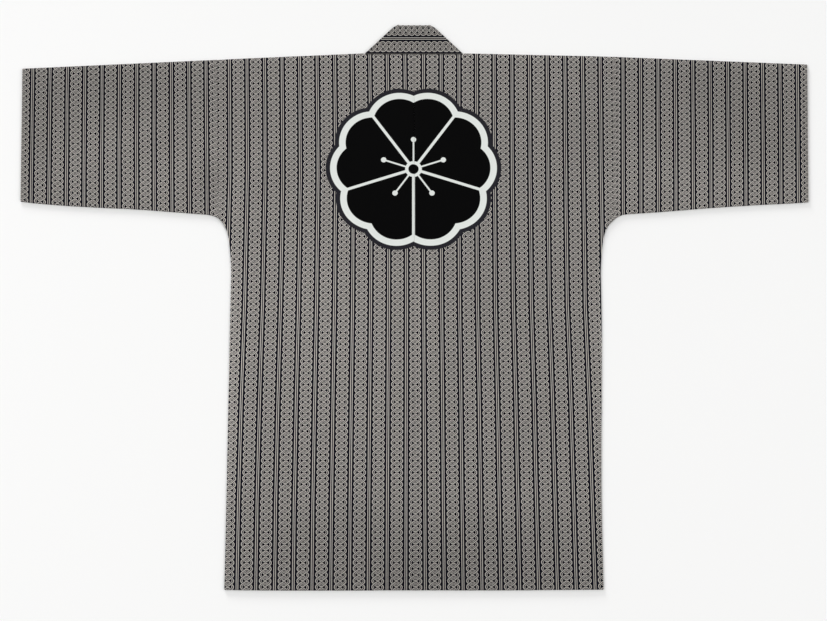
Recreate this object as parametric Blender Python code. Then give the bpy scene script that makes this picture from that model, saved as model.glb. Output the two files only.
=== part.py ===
# Happi coat laid flat with its back up, one named object for each cut piece.
# The hem points to -Y, the collar to +Y, and the cloth lies on the plane z = 0.
# Left and right are the wearer's: the back is up, so left is at -X.

import math

import bpy
import numpy as np

# Driving sizes in metres. A height is measured up the laid coat from its hem.
CLOTH = 0.0012  # wall of a single layer
BAND = 0.0020  # wall of the doubled collar band
SEAM_GAP = 0.0003  # between two pieces that are sewn together
BODY_LENGTH = 0.8550  # hem to the shoulder fold beside the neck
FRONT_HALF = 0.0600  # centre to the front edge below the neckline
COLLAR_WIDTH = 0.0490  # neck seam to the folded edge of the band
COLLAR_CORNER = 0.0044  # the band's upper corners are rounded off by this much
CORNER_START = 0.82  # from this share of its width up

# The two halves lie a few millimetres apart in width and height. A half is measured from the
# centre back seam: to the end of the neck seam, to the side at the hem and waist, to both ends of
# the armhole, to the cuff.
LEFT = {
    "name": "left",
    "sign": -1.0,
    "neck_half": 0.0806,
    "hem_half": 0.2817,
    "waist_half": 0.2827,
    "underarm_half": 0.3043,
    "underarm": 0.5795,
    "shoulder_half": 0.3128,
    "shoulder_end": 0.8441,
    "cuff_top_half": 0.6208,
    "cuff_top": 0.8290,
    "cuff_foot_half": 0.6129,
    "cuff_foot": 0.6066,
}
RIGHT = {
    "name": "right",
    "sign": 1.0,
    "neck_half": 0.0785,
    "hem_half": 0.2801,
    "waist_half": 0.2871,
    "underarm_half": 0.3086,
    "underarm": 0.5759,
    "shoulder_half": 0.3147,
    "shoulder_end": 0.8493,
    "cuff_top_half": 0.6224,
    "cuff_top": 0.8360,
    "cuff_foot_half": 0.6129,
    "cuff_foot": 0.6054,
}
MIDDLE_X = (RIGHT["cuff_top_half"] - LEFT["cuff_top_half"]) / 2  # the box's middle from the seam

# Heights along the sides, the same for both halves.
TAPER_FOOT = 0.1000  # the side leaves its width at the hem here
TAPER_TOP = 0.4600  # and reaches its width at the waist here
CURVE_FOOT = 0.4870  # the underarm curve starts
CURVE_SOFT = 0.45  # share of the curve that comes in early, the rest is close to the armhole
SLEEVE_AIM = 0.5844  # the sleeve's lower edge would meet the armhole here if it ran straight
DIP_REACH = 0.0190  # the underarm curve runs on into the sleeve over this width
NECKLINE_FOOT = 0.5000  # the front edge runs straight down from here
FOLD_LEAN = 0.6  # the band's slanted fold leans towards the back by this share
FOLD_APPROACH = 6.0  # power by which the band's seam gap doubles towards the slanted fold

# Heights of the layers' middles over the plane that the coat lies on.
FRONT_Z = CLOTH / 2
BAND_FRONT_Z = BAND / 2
LAYER_GAP = 0.0004  # between layers that lie on each other
BAND_BACK_Z = BAND + LAYER_GAP + BAND / 2
BACK_Z = BAND + LAYER_GAP + CLOTH / 2  # body back, over the collar band
SLEEVE_Z = 0.0026  # sleeve back and the body along the armhole
SIDE_Z = FRONT_Z + CLOTH + SEAM_GAP  # body back where it meets the front at the side seam
SIDE_EASE = 0.030  # the back comes down to its edges over this width

FOLD_REACH = (BACK_Z - FRONT_Z) / 2 + CLOTH / 2  # from the last flat row to the fold's outside
NECK_SEAM = BODY_LENGTH - FOLD_REACH
COAT_HEIGHT = NECK_SEAM + SEAM_GAP + COLLAR_WIDTH
HEM_Y = -COAT_HEIGHT / 2

# Number of cells.
NECK_COLUMNS = 3
BODY_COLUMNS = 16
LOWER_ROWS = 14
CURVE_ROWS = 10
UPPER_ROWS = 10
FOLD_ROWS = 6
DIP_COLUMNS = 3
SLEEVE_COLUMNS = 11
SLEEVE_ROWS = 9
BAND_COLUMNS = 5
BAND_FRONT_ROWS = 24
BAND_NECK_ROWS = 4

CREASE_COLUMNS = ("from_x", "from_height", "to_x", "to_height", "half_width", "rise")
CREASES = {
    "body_left": (
        (0.285, 0.600, 0.165, 0.735, 0.024, 0.0017),
        (0.215, 0.520, 0.235, 0.250, 0.034, 0.0013),
        (0.090, 0.430, 0.125, 0.080, 0.040, 0.0011),
        (0.255, 0.330, 0.175, 0.060, 0.024, 0.0009),
    ),
    "body_right": (
        (0.280, 0.590, 0.190, 0.715, 0.024, 0.0018),
        (0.235, 0.500, 0.205, 0.190, 0.036, 0.0014),
        (0.110, 0.360, 0.100, 0.060, 0.038, 0.0010),
        (0.060, 0.560, 0.150, 0.400, 0.026, 0.0008),
    ),
    "sleeve_left": (
        (0.325, 0.610, 0.420, 0.770, 0.026, 0.0015),
        (0.505, 0.640, 0.560, 0.790, 0.024, 0.0012),
    ),
    "sleeve_right": (
        (0.330, 0.620, 0.400, 0.780, 0.025, 0.0015),
        (0.480, 0.630, 0.575, 0.760, 0.025, 0.0013),
    ),
}

CLOTH_COLOR = (0.148, 0.142, 0.135, 1.0)  # indigo ground and off-white lines, seen from afar
CLOTH_ROUGHNESS = 0.9


def smooth(t):
    """Eases from 0 to 1 as t goes from 0 to 1."""
    t = np.clip(t, 0.0, 1.0)
    return t * t * (3.0 - 2.0 * t)


def between(value, low, high):
    """How far value has come from low to high, kept in 0 to 1."""
    return np.clip((value - low) / (high - low), 0.0, 1.0)


def side_half(side, height):
    """Half width of the body at a height: taper, underarm curve, armhole seam."""
    taper = (side["waist_half"] - side["hem_half"]) * smooth(between(height, TAPER_FOOT, TAPER_TOP))
    up = between(height, CURVE_FOOT, side["underarm"])
    curve = CURVE_SOFT * up**1.5 + (1.0 - CURVE_SOFT) * up**6
    armhole = between(height, side["underarm"], side["shoulder_end"])
    return (
        side["hem_half"]
        + taper
        + (side["underarm_half"] - side["waist_half"]) * curve
        + (side["shoulder_half"] - side["underarm_half"]) * armhole
    )


def front_half(side, height):
    """Half width from the centre to the front edge: a slant below the neck, then straight."""
    slant = between(height, NECKLINE_FOOT, NECK_SEAM)
    return FRONT_HALF + (side["neck_half"] - FRONT_HALF) * slant


def placed(x, height, z):
    """Points in the part's frame, from x off the centre back seam and the height over the hem."""
    return np.stack((x - MIDDLE_X, HEM_Y + height, z), axis=-1)


def creases(name, x, height):
    """Soft ridges along straight lines, each fading at its ends and sides."""
    rise = np.zeros(np.broadcast(x, height).shape)
    for row in CREASES[name]:
        line = dict(zip(CREASE_COLUMNS, row))
        run = np.array((line["to_x"] - line["from_x"], line["to_height"] - line["from_height"]))
        length = np.hypot(*run)
        run = run / length
        off_x = x - line["from_x"]
        off_height = height - line["from_height"]
        along = (off_x * run[0] + off_height * run[1]) / length
        across = off_x * run[1] - off_height * run[0]
        fade = np.sin(math.pi * np.clip(along, 0.0, 1.0)) ** 2
        rise = rise + line["rise"] * fade * np.exp(-((across / line["half_width"]) ** 2))
    return rise


def new_material(name):
    """Matt printed cotton."""
    material = bpy.data.materials.new(name + "_cotton")
    material.use_nodes = True
    shader = material.node_tree.nodes["Principled BSDF"]
    shader.inputs["Base Color"].default_value = CLOTH_COLOR
    shader.inputs["Roughness"].default_value = CLOTH_ROUGHNESS
    shader.inputs["Metallic"].default_value = 0.0
    material.diffuse_color = CLOTH_COLOR
    return material


def new_wall(name, middle, wall, used=None, closed=False):
    """A cloth wall about a grid of middle points; used marks its cells, closed joins its columns."""
    rows, columns = middle.shape[:2]
    row_steps = np.arange(rows - 1)
    column_steps = np.arange(columns if closed else columns - 1)
    row, column = np.meshgrid(row_steps, column_steps, indexing="ij")
    after = (column + 1) % columns
    cells = np.stack(
        (
            row * columns + column,
            row * columns + after,
            (row + 1) * columns + after,
            (row + 1) * columns + column,
        ),
        axis=-1,
    )
    cells = cells.reshape(-1, 4) if used is None else cells[used]
    kept, faces = np.unique(cells, return_inverse=True)
    points = middle.reshape(-1, 3)[kept]

    mesh = bpy.data.meshes.new(name)
    mesh.from_pydata(points.tolist(), [], faces.reshape(-1, 4).tolist())
    mesh.shade_smooth()
    piece = bpy.data.objects.new(name, mesh)
    piece.data.materials.append(new_material(name))
    bpy.context.scene.collection.objects.link(piece)
    solidify = piece.modifiers.new("cloth", "SOLIDIFY")
    solidify.thickness = wall
    solidify.offset = 0.0
    solidify.use_even_offset = True
    return piece


def back_height(side, x, height):
    """Middle of the body's upper layer over the plane, down to its edges and up over creases."""
    edge = SIDE_Z + (SLEEVE_Z - SIDE_Z) * smooth(between(height, CURVE_FOOT, side["underarm"]))
    inward = smooth((side_half(side, height) - x) / SIDE_EASE)
    ridges = creases("body_" + side["name"], x, height)
    return edge + (BACK_Z - edge + ridges) * inward


def new_body(side):
    """One half of the body: back from the hem up, round the shoulder fold, front down to the hem."""
    # Rows stand closer together towards the armhole, where the underarm curve tightens.
    curve_rise = 1.0 - np.linspace(1.0, 0.0, CURVE_ROWS + 1) ** 1.6
    heights = np.concatenate(
        (
            np.linspace(0.0, CURVE_FOOT, LOWER_ROWS + 1)[:-1],
            (CURVE_FOOT + (side["underarm"] - CURVE_FOOT) * curve_rise)[:-1],
            np.linspace(side["underarm"], NECK_SEAM, UPPER_ROWS + 1),
        )
    )[:, None]
    front_heights = heights[::-2]

    def drop(x, height):
        """How far the cloth lies below its place at the neck, most at the shoulder fold's end."""
        out = between(x, side["neck_half"], side["shoulder_half"])
        up = between(height, side["underarm"], NECK_SEAM)
        return (BODY_LENGTH - side["shoulder_end"]) * out * up

    # Back: columns across the neck seam, then columns from the neck to the side.
    neck = np.linspace(SEAM_GAP / 2, side["neck_half"], NECK_COLUMNS + 1)[:-1]
    out = np.linspace(0.0, 1.0, BODY_COLUMNS - NECK_COLUMNS + 1)

    def row_x(height, edge):
        """Columns of each row: across the neck, then from the edge out to the side."""
        side_x = side_half(side, height - drop(side["shoulder_half"], height)) - SEAM_GAP / 2
        across_neck = np.broadcast_to(neck, (len(height), NECK_COLUMNS))
        return np.concatenate((across_neck, edge + (side_x - edge) * out), axis=1)

    back_x = row_x(heights, side["neck_half"])
    back_h = heights - drop(back_x, heights)
    back_z = back_height(side, back_x, back_h)

    # Front: every other row from the shoulder down, from the front edge to the side, at one level.
    front_x = row_x(front_heights, front_half(side, front_heights))
    front_h = front_heights - drop(front_x, front_heights)
    front_z = np.full_like(front_x, FRONT_Z)

    # Fold: half a turn about a line at the last row.
    turn = np.linspace(0.0, math.pi, FOLD_ROWS + 1)[1:-1, None]
    radius = (back_z[-1] - FRONT_Z) / 2
    fold_x = np.broadcast_to(back_x[-1], (len(turn), BODY_COLUMNS + 1))
    fold_h = back_h[-1] + radius * np.sin(turn)
    fold_z = FRONT_Z + radius + radius * np.cos(turn)

    x = np.concatenate((back_x, fold_x, front_x))
    h = np.concatenate((back_h, fold_h, front_h))
    z = np.concatenate((back_z, fold_z, front_z))
    used = np.ones((len(x) - 1, BODY_COLUMNS), dtype=bool)
    used[len(heights) - 1 :, :NECK_COLUMNS] = False
    new_wall("body_" + side["name"], placed(side["sign"] * x, h, z), CLOTH, used)


def new_sleeve(side):
    """A flattened tube from the armhole to the cuff, folded at its top and seamed at its foot."""
    head = np.array((side["shoulder_half"] + SEAM_GAP / 2, side["shoulder_end"]))
    foot = np.array((side["underarm_half"] + SEAM_GAP / 2, SLEEVE_AIM))
    cuff_head = np.array((side["cuff_top_half"], side["cuff_top"]))
    cuff_foot = np.array((side["cuff_foot_half"], side["cuff_foot"]))
    near = DIP_REACH / (side["cuff_foot_half"] - side["underarm_half"])
    close = np.linspace(0.0, near, DIP_COLUMNS + 1)[:-1]
    out = np.concatenate((close, np.linspace(near, 1.0, SLEEVE_COLUMNS + 1)))[:, None]
    tops = head + (cuff_head - head) * out
    feet = foot + (cuff_foot - foot) * out
    feet[:, 1:] -= (SLEEVE_AIM - side["underarm"]) * (1.0 - between(out, 0.0, near)) ** 2
    depth = np.linalg.norm(tops - feet, axis=1, keepdims=True)
    up = (tops - feet) / depth

    # Round one section: up the back layer, over the top fold, down the front layer, round the foot.
    radius = (SLEEVE_Z - FRONT_Z) / 2
    inset = radius + CLOTH / 2
    rise = np.linspace(0.0, 1.0, SLEEVE_ROWS + 1)
    turn = np.linspace(0.0, math.pi, FOLD_ROWS + 1)[1:-1]
    flat = inset + (depth - 2 * inset) * rise
    section_up = np.concatenate(
        (
            flat,
            depth - inset + radius * np.sin(turn),
            flat[:, ::-1],
            inset - radius * np.sin(turn) + 0 * depth,
        ),
        axis=1,
    )
    back_z = np.full_like(flat, SLEEVE_Z)
    section_z = np.concatenate(
        (
            back_z,
            FRONT_Z + radius + radius * np.cos(turn) + 0 * depth,
            np.full_like(flat, FRONT_Z),
            FRONT_Z + radius - radius * np.cos(turn) + 0 * depth,
        ),
        axis=1,
    )
    x = feet[:, :1] + up[:, :1] * section_up
    h = feet[:, 1:] + up[:, 1:] * section_up
    name = "sleeve_" + side["name"]
    rows = slice(0, SLEEVE_ROWS + 1)
    settle = np.sin(math.pi * rise) * smooth(3.0 * out) * smooth(6.0 * (1.0 - out))
    section_z[:, rows] += creases(name, x[:, rows], h[:, rows]) * settle
    new_wall(name, placed(side["sign"] * x, h, section_z), CLOTH, closed=True)


def half_band(side):
    """Half of the doubled band: up the front edge, folded slantwise at the neck, to the centre back."""
    lower = np.linspace(0.0, CORNER_START, BAND_COLUMNS)
    across = np.concatenate((lower, ((1.0 + CORNER_START) / 2, 1.0)))
    seam = NECK_SEAM + SEAM_GAP
    corner_x = side["neck_half"] - 2.0 * SEAM_GAP

    # The slanted fold runs from the end of the neck seam up to the folded edge of the band.
    corner = COLLAR_CORNER * between(across, CORNER_START, 1.0) ** 3
    fold_x = corner_x - COLLAR_WIDTH * across - corner
    fold_h = seam + COLLAR_WIDTH * across
    radius = (BAND_BACK_Z - BAND_FRONT_Z) / 2
    inset = (radius + BAND / 2) * math.sqrt(0.5)
    turn = np.linspace(0.0, math.pi, FOLD_ROWS + 1)[:, None]
    bulge = radius * np.sin(turn) * math.sqrt(0.5)
    # The band slides along its fold as it turns, so that it meets both of its seams.
    slide = inset * (np.cos(turn) - FOLD_LEAN * np.sin(turn))
    turn_x = fold_x - inset + bulge + slide
    turn_h = fold_h - inset + bulge - slide
    turn_z = BAND_FRONT_Z + radius - radius * np.cos(turn) + 0 * across

    # Front strip: straight sections at the hem that slant more and more towards the fold.
    rise = np.linspace(0.0, 1.0, BAND_FRONT_ROWS + 1)[:-1, None]
    front_h = rise * turn_h[0]
    gap = SEAM_GAP * (1.0 + rise**FOLD_APPROACH)
    front_x = front_half(side, rise * turn_h[0, 0]) - gap - COLLAR_WIDTH * across

    # Neck strip: from the slanted fold to the centre back.
    go = np.linspace(0.0, 1.0, BAND_NECK_ROWS + 1)[1:, None]
    neck_x = turn_x[-1] * (1.0 - go)
    neck_h = fold_h + 0 * go

    x = np.concatenate((front_x, turn_x, neck_x))
    h = np.concatenate((front_h, turn_h, neck_h))
    z = np.concatenate(
        (np.full_like(front_x, BAND_FRONT_Z), turn_z, np.full_like(neck_x, BAND_BACK_Z))
    )
    return placed(side["sign"] * x, h, z)


def new_collar():
    """The band in one length, from the right front's hem round the neck to the left front's hem."""
    right = half_band(RIGHT)
    left = half_band(LEFT)
    new_wall("collar", np.concatenate((right, left[-2::-1])), BAND)


def main():
    for old in list(bpy.data.objects):
        bpy.data.objects.remove(old)
    for side in (LEFT, RIGHT):
        new_body(side)
        new_sleeve(side)
    new_collar()


main()
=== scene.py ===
import math

import bpy
import numpy as np
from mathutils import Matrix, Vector


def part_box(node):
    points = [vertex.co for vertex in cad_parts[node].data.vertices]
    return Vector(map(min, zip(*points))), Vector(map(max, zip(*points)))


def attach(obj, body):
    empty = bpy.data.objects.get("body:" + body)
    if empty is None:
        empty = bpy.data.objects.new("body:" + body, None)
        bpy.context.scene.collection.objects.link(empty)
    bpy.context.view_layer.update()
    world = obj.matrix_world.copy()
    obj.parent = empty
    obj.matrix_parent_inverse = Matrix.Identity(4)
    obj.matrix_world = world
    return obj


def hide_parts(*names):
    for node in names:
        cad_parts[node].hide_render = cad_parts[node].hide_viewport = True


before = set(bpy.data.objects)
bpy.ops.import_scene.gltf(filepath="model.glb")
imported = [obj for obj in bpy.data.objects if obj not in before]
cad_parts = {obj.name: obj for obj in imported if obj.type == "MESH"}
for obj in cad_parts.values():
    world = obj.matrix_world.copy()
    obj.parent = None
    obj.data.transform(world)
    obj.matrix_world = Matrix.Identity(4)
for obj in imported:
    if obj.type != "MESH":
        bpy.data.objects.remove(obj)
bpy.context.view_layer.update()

# A happi coat laid flat with its back up. x runs across the coat from the centre back seam,
# h is the height above the hem, z is the height off the floor. All in metres.
# Left is the wearer's left, at -x.

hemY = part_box("body_left")[0].y  # h = 0

# The two halves lie a few millimetres apart in width and height.
halves = {
    "left": {
        "sign": -1.0,
        "neckHalf": 0.0806,  # end of the neck seam
        "hem": 0.2817,  # centre back to side at the hem
        "waist": 0.2827,
        "underarmHalf": 0.3043,  # to the foot of the armhole, and its height
        "underarm": 0.5795,
        "shoulderHalf": 0.3128,  # to the top of the armhole, and its height
        "shoulderEnd": 0.8441,
        "cuffTopHalf": 0.6208,
        "cuffTop": 0.8290,
        "cuffFootHalf": 0.6129,
        "cuffFoot": 0.6066,
        "sleeveRepeat": 0.02734,  # from one chain column to the next on the sleeve
        "firstColumn": 0.0038,  # armhole seam to the middle of the sleeve's first chain column
    },
    "right": {
        "sign": 1.0,
        "neckHalf": 0.0785,
        "hem": 0.2801,
        "waist": 0.2871,
        "underarmHalf": 0.3086,
        "underarm": 0.5759,
        "shoulderHalf": 0.3147,
        "shoulderEnd": 0.8493,
        "cuffTopHalf": 0.6224,
        "cuffTop": 0.8360,
        "cuffFootHalf": 0.6129,
        "cuffFoot": 0.6054,
        "sleeveRepeat": 0.02758,
        "firstColumn": 0.0021,
    },
}
middleX = (halves["right"]["cuffTopHalf"] - halves["left"]["cuffTopHalf"]) / 2  # seam to x = 0

coat = {
    "shoulder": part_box("body_left")[1].y - hemY,  # hem to the shoulder fold at the neck
    "frontHalf": 0.0600,  # front edge below the neckline
    "taperFoot": 0.1000,
    "taperTop": 0.4600,
    "curveFoot": 0.4870,
    "curveSoft": 0.42,  # share of the curve that comes in early
    "curvePowers": (1.5, 7),
    "sleeveAim": 0.5844,  # the sleeve's lower edge would meet the armhole here if it ran straight
    "dipReach": 0.0190,
    "necklineFoot": 0.5000,
    "cloth": 0.0007,  # real thickness of the cotton
    "gap": 0.00005,  # half of what is left open at a seam
}

repeat = 0.0278  # from one chain column to the next


def smooth(t):
    # 3t^2 - 2t^3 with t kept in 0..1
    t = np.clip(t, 0.0, 1.0)
    return t * t * (3.0 - 2.0 * t)


def between(value, low, high):
    # how far value is from low to high, kept in 0..1
    return np.clip((value - low) / (high - low), 0.0, 1.0)


def placed(x, h, z):
    # from the coat's own x, h, z to the frame's
    return np.stack((x - middleX, hemY + h, z), axis=-1)


def sideHalf(half, h):
    # half width of the body: soft taper, underarm curve of two powers, slanted armhole
    taper = smooth(between(h, coat["taperFoot"], coat["taperTop"]))
    up = between(h, coat["curveFoot"], half["underarm"])
    early, late = coat["curvePowers"]
    curve = coat["curveSoft"] * up**early + (1.0 - coat["curveSoft"]) * up**late
    armhole = between(h, half["underarm"], half["shoulderEnd"])
    return (
        half["hem"]
        + (half["waist"] - half["hem"]) * taper
        + (half["underarmHalf"] - half["waist"]) * curve
        + (half["shoulderHalf"] - half["underarmHalf"]) * armhole
    )


def frontHalf(half, h, neckSeam):
    # centre to front edge: straight up from the hem, then slanting out to the neck
    slant = between(h, coat["necklineFoot"], neckSeam)
    return coat["frontHalf"] + (half["neckHalf"] - coat["frontHalf"]) * slant


# Soft creases: from (x, h) to (x, h), half width and rise; a negative rise is a trough.
creaseColumns = ("x0", "h0", "x1", "h1", "halfWidth", "rise")
creases = {
    "body_left": (
        (0.285, 0.600, 0.165, 0.735, 0.022, 0.0030),
        (0.180, 0.730, 0.175, 0.520, 0.024, 0.0022),
        (0.098, 0.640, 0.108, 0.390, 0.020, 0.0020),
        (0.262, 0.575, 0.150, 0.660, 0.014, -0.0008),
        (0.218, 0.520, 0.235, 0.250, 0.030, 0.0024),
        (-0.060, 0.135, 0.330, 0.120, 0.030, 0.0022),
        (0.250, 0.330, 0.175, 0.060, 0.020, 0.0015),
        (0.060, 0.330, 0.080, 0.080, 0.022, 0.0010),
    ),
    "body_right": (
        (0.280, 0.590, 0.190, 0.715, 0.020, 0.0028),
        (0.345, 0.680, 0.170, 0.850, 0.018, 0.0030),
        (0.022, 0.660, 0.018, 0.140, 0.014, 0.0015),
        (0.235, 0.500, 0.205, 0.190, 0.032, 0.0024),
        (0.110, 0.400, 0.095, 0.100, 0.034, 0.0018),
        (0.070, 0.580, 0.150, 0.420, 0.022, 0.0014),
        (-0.060, 0.130, 0.340, 0.115, 0.028, 0.0024),
    ),
    "sleeve_left": (
        (0.530, 0.630, 0.330, 0.765, 0.028, 0.0030),
        (0.325, 0.600, 0.405, 0.700, 0.018, 0.0020),
        (0.505, 0.700, 0.560, 0.810, 0.020, 0.0014),
    ),
    "sleeve_right": (
        (0.325, 0.710, 0.430, 0.600, 0.022, 0.0028),
        (0.350, 0.775, 0.530, 0.680, 0.028, 0.0026),
        (0.520, 0.640, 0.585, 0.800, 0.022, 0.0016),
    ),
}

relief = {
    "bow": 0.006,  # sideways bend of a crease, its waves along the line and their start
    "bowWaves": 5.0,
    "bowStart": 40.0,
    "slack": 0.00035,  # half height of the slack between creases
    "waveX": 24.0,
    "waveH": 13.0,
    "swayX": (1.7, 9.0),
    "swayH": (2.2, 7.0),
    "foldWear": 0.10,  # the cloth is lighter along the top folds, over this reach
    "foldReach": 0.008,
}


def creaseRise(name, x, h):
    # sum of ridges: sin^2 along each line times exp(-(distance / half width)^2)
    rise = 0.0 * (x + h)
    for row in creases[name]:
        line = dict(zip(creaseColumns, row))
        dx, dh = line["x1"] - line["x0"], line["h1"] - line["h0"]
        length = math.hypot(dx, dh)
        along = ((x - line["x0"]) * dx + (h - line["h0"]) * dh) / length**2
        across = ((x - line["x0"]) * dh - (h - line["h0"]) * dx) / length
        start = line["x0"] * relief["bowStart"]
        bow = across + relief["bow"] * np.sin(relief["bowWaves"] * along + start)
        fade = np.sin(math.pi * np.clip(along, 0.0, 1.0)) ** 2
        rise = rise + line["rise"] * fade * np.exp(-((bow / line["halfWidth"]) ** 2))
    return rise


def slackRise(x, h, phase):
    # two crossed sine waves of unequal length, never below 0
    swayH, rateH = relief["swayH"]
    swayX, rateX = relief["swayX"]
    sideways = np.sin(x * relief["waveX"] + swayH * np.sin(h * rateH + phase))
    upwards = np.sin(h * relief["waveH"] + swayX * x * rateX + phase)
    return relief["slack"] * (1.0 + sideways * upwards)


# Painted light and shade: soft lighter and darker areas on the cloth, where light and shade would
# fall; middle x and h, half widths in x and h, and how much the tone changes.
paintedShadingColumns = ("x", "h", "halfX", "halfH", "change")
paintedShadingAreas = (
    (-0.150, 0.420, 0.150, 0.190, 0.16),
    (0.040, 0.020, 0.300, 0.085, -0.21),
    (-0.285, 0.330, 0.024, 0.240, 0.24),
    (0.290, 0.360, 0.022, 0.200, 0.14),
    (0.010, 0.420, 0.020, 0.130, 0.09),
    (0.250, 0.700, 0.070, 0.080, -0.06),
    (-0.320, 0.640, 0.035, 0.035, -0.12),
    (-0.480, 0.800, 0.170, 0.060, -0.15),
    (-0.610, 0.720, 0.060, 0.100, -0.12),
    (-0.400, 0.650, 0.160, 0.050, 0.06),
    (0.480, 0.800, 0.160, 0.080, -0.15),
    (0.560, 0.700, 0.090, 0.070, -0.10),
    (0.430, 0.630, 0.170, 0.040, 0.08),
)


def foldWearAndPaintedShading(points):
    # 1, plus the worn top folds, plus painted light and shade as the sum of
    # change * exp(-(dx / halfX)^2 - (dh / halfH)^2)
    x, h = points[..., 0] + middleX, points[..., 1] - hemY
    half = halves["right"]
    top = np.interp(
        np.abs(x),
        (half["neckHalf"], half["shoulderHalf"], half["cuffTopHalf"]),
        (coat["shoulder"], half["shoulderEnd"], half["cuffTop"]),
    )
    tone = 1.0 + relief["foldWear"] * np.exp(-(((top - h) / relief["foldReach"]) ** 2))
    for row in paintedShadingAreas:
        area = dict(zip(paintedShadingColumns, row))
        far = ((x - area["x"]) / area["halfX"]) ** 2 + ((h - area["h"]) / area["halfH"]) ** 2
        # painted light and shade: each area lightens or darkens the tone
        tone = tone + area["change"] * np.exp(-far)
    return tone


def sheetObject(name, points, maps, material, used=...):
    # a grid of points (rows, columns, 3) as quads, all or those in used, its UV maps, then
    # Solidify about its middle
    rows, columns = points.shape[:2]
    r, c = np.meshgrid(np.arange(rows - 1), np.arange(columns - 1), indexing="ij")
    corner = r * columns + c
    quads = np.stack((corner, corner + 1, corner + columns + 1, corner + columns), axis=-1)
    quads = quads[used].reshape(-1, 4)
    kept, quads = np.unique(quads, return_inverse=True)
    quads = quads.reshape(-1, 4)
    mesh = bpy.data.meshes.new(name)
    mesh.from_pydata(points.reshape(-1, 3)[kept], [], quads)
    # the painted light and shade, with the worn top folds, kept on the points for the colour
    tone = mesh.attributes.new("foldWearAndPaintedShading", "FLOAT", "POINT")
    tone.data.foreach_set("value", foldWearAndPaintedShading(points).ravel()[kept].astype(np.float32))
    for mapName, uv in maps.items():
        corners = uv.reshape(-1, 2)[kept][quads.ravel()].astype(np.float32)
        mesh.uv_layers.new(name=mapName).data.foreach_set("uv", corners.ravel())
    mesh.shade_smooth()
    mesh.materials.append(material)
    piece = newObject(name, mesh)
    wall = piece.modifiers.new("cloth", "SOLIDIFY")
    wall.thickness = coat["cloth"]
    wall.offset = 0.0
    wall.use_even_offset = True
    return piece


def newObject(name, data):
    # an object, put into the scene
    made = bpy.data.objects.new(name, data)
    bpy.context.scene.collection.objects.link(made)
    return made


def newMaterial(name, surface):
    # a material with its node tree and its shader, and the surface's values in the shader
    material = bpy.data.materials.new(name)
    material.use_nodes = True
    shader = material.node_tree.nodes["Principled BSDF"]
    for key, value in surface.items():
        shader.inputs[key].default_value = value
    return material, material.node_tree, shader


# Shader helpers. addNode returns the node itself, the others what comes out of it.
def plug(tree, socket, value):
    if isinstance(value, bpy.types.NodeSocket):
        tree.links.new(value, socket)
    else:
        socket.default_value = value


def addNode(tree, kind, sockets=(), **settings):
    node = tree.nodes.new(kind)
    for key, value in settings.items():
        setattr(node, key, value)
    for key, value in dict(sockets).items():
        plug(tree, node.inputs[key], value)
    return node


def calc(tree, operation, *values):
    return addNode(tree, "ShaderNodeMath", enumerate(values), operation=operation).outputs[0]


def calcVector(tree, operation, *values):
    node = addNode(tree, "ShaderNodeVectorMath", enumerate(values), operation=operation)
    return node.outputs["Value" if operation in ("LENGTH", "DOT_PRODUCT") else "Vector"]


def mixColor(tree, amount, a, b, blend="MIX"):
    node = tree.nodes.new("ShaderNodeMix")
    node.data_type = "RGBA"
    node.blend_type = blend
    plug(tree, node.inputs["Factor"], amount)
    plug(tree, node.inputs[6], a)
    plug(tree, node.inputs[7], b)
    return node.outputs[2]


def inside(tree, distance, edge, soft):
    # 1 where distance < edge, else 0, with a smooth step from edge - soft to edge + soft
    sockets = {"Value": distance, "From Min": edge - soft, "From Max": edge + soft}
    sockets.update({"To Min": 1.0, "To Max": 0.0})
    node = addNode(tree, "ShaderNodeMapRange", sockets, interpolation_type="SMOOTHSTEP")
    return node.outputs["Result"]


def noise(tree, place, scale, detail, output="Fac"):
    sockets = {"Vector": place, "Scale": scale, "Detail": detail}
    return addNode(tree, "ShaderNodeTexNoise", sockets).outputs[output]


def split(tree, vector):
    return addNode(tree, "ShaderNodeSeparateXYZ", {0: vector}).outputs


def join(tree, x, y, z=0.0):
    return addNode(tree, "ShaderNodeCombineXYZ", {0: x, 1: y, 2: z}).outputs[0]


# The cotton's pattern in units of one repeat: x 0 is the middle of a chain column, and the two
# stripes lie about x 0.5. Each link is two open strokes, and looks the same turned by half a turn.
chain = {
    "pitch": 0.3265,  # from one link to the next
    "outerHalf": 0.0206,  # half width of the outer stroke
    "innerHalf": 0.0128,
    "stripeAt": 0.4512,
    "stripeHalf": 0.0176,
    "outer": (
        (0.1044, 0.0803), (0.0752, 0.1140), (0.0281, 0.1286), (-0.0337, 0.1263), (-0.0809, 0.1005),
        (-0.2751, -0.0545), (-0.3043, -0.1039), (-0.3066, -0.1971), (-0.2414, -0.2847),
    ),
    "inner": (
        (0.0651, 0.0275), (0.0281, 0.0410), (-0.0337, 0.0410), (-0.0707, 0.0241),
        (-0.1965, -0.0904), (-0.2235, -0.1409), (-0.2212, -0.1892), (-0.1909, -0.2364),
    ),
}


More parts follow.
